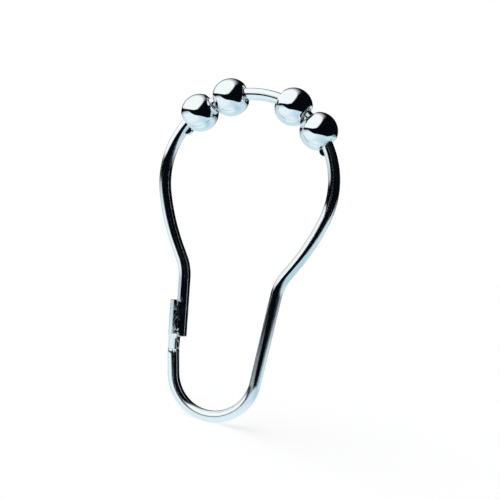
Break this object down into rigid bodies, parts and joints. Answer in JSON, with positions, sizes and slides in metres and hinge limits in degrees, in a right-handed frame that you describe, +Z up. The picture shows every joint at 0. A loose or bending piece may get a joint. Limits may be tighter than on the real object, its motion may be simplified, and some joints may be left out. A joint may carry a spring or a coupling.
{
  "type": "curtain hook",
  "caption": "Pear-shaped closed ring of bent chrome wire with roller balls on its crown and a sprung clasp in one leg, for hanging a shower curtain on a rod.",
  "frame": {"origin": "centre of the round crown, on the rod's axis side of the ring and in the ring's middle plane", "axes": "+Z up, from the bottom bend to the crown; +Y through the ring, along the rod; +X from the clasp's leg to the plain leg"},
  "size_m": [0.0418, 0.0084, 0.0767],
  "materials": {
    "wire_chrome": "bright chrome plating on smooth spring wire",
    "ball_chrome": "bright chrome plating on polished balls"
  },
  "bodies": {
    "ring": {"wire_ring": "wire_chrome"},
    "ball_1": {"roller_ball_1": "ball_chrome"},
    "ball_2": {"roller_ball_2": "ball_chrome"},
    "ball_3": {"roller_ball_3": "ball_chrome"},
    "ball_4": {"roller_ball_4": "ball_chrome"}
  },
  "joints": [
    {"name": "ball_1_spin", "type": "hinge", "parent": "ring", "child": "ball_1", "pos_m": [-0.01397, 0, 0.01352], "axis": [0.6955, 0, 0.7185], "continuous": true},
    {"name": "ball_2_spin", "type": "hinge", "parent": "ring", "child": "ball_2", "pos_m": [-0.00737, 0, 0.01799], "axis": [0.9254, 0, 0.379], "continuous": true},
    {"name": "ball_3_spin", "type": "hinge", "parent": "ring", "child": "ball_3", "pos_m": [0.00737, 0, 0.01799], "axis": [0.9254, 0, -0.379], "continuous": true},
    {"name": "ball_4_spin", "type": "hinge", "parent": "ring", "child": "ball_4", "pos_m": [0.01397, 0, 0.01352], "axis": [0.6955, 0, -0.7185], "continuous": true}
  ]
}
